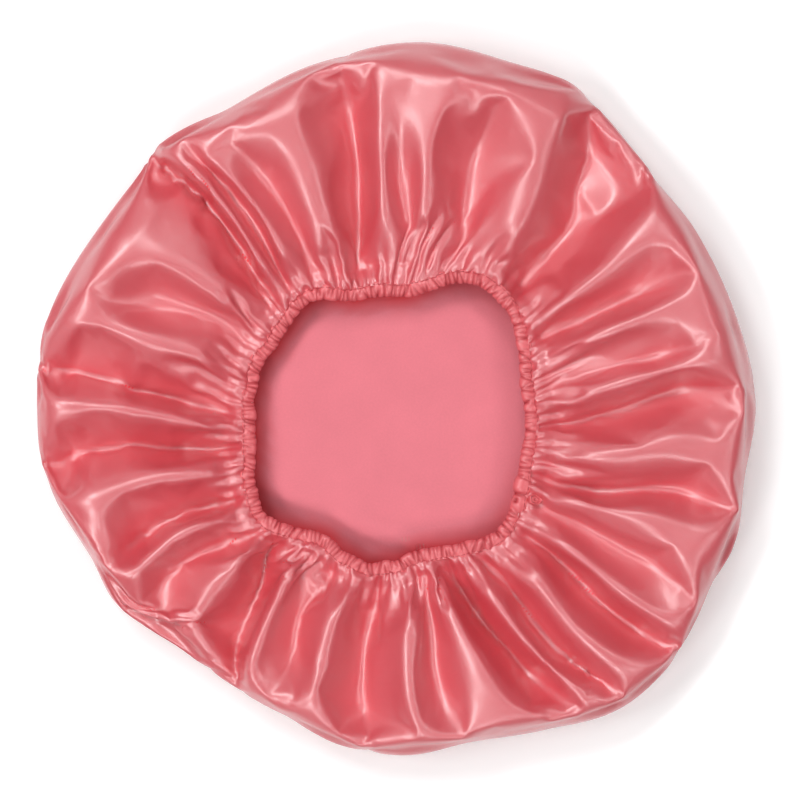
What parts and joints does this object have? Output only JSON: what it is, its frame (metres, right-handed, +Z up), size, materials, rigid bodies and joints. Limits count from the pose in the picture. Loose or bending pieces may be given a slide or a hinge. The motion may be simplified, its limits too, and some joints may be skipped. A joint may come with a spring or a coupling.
{
  "type": "satin hair bonnet",
  "caption": "Round satin hair bonnet lying on its crown, gathered into deep folds by an elastic casing round its open mouth.",
  "frame": {"origin": "centre of the crown's flat underside, on the surface that the bonnet lies on", "axes": "+Z up out of the mouth, +X and +Y across the laid bonnet"},
  "size_m": [0.3593, 0.3584, 0.0408],
  "materials": {
    "satin": "coral satin, glossy outside and matt inside",
    "casing_satin": "coral satin, closely ruched",
    "elastic": "matt woven elastic",
    "thread": "coral sewing thread"
  },
  "bodies": {
    "crown": {"crown": "satin", "side_band": "satin"},
    "mouth": {"gathered_top": "satin", "casing": "casing_satin", "elastic_band": "elastic", "elastic_tack": "thread", "needle_thread": "thread", "bobbin_thread": "thread"}
  },
  "joints": [
    {"name": "mouth_lift", "type": "slide", "parent": "crown", "child": "mouth", "axis": [0, 0, 1], "range_m": [-0.008, 0.02], "stiffness_N_per_m": 30, "springref_m": 0.0058, "deforming": ["side_band"]}
  ]
}
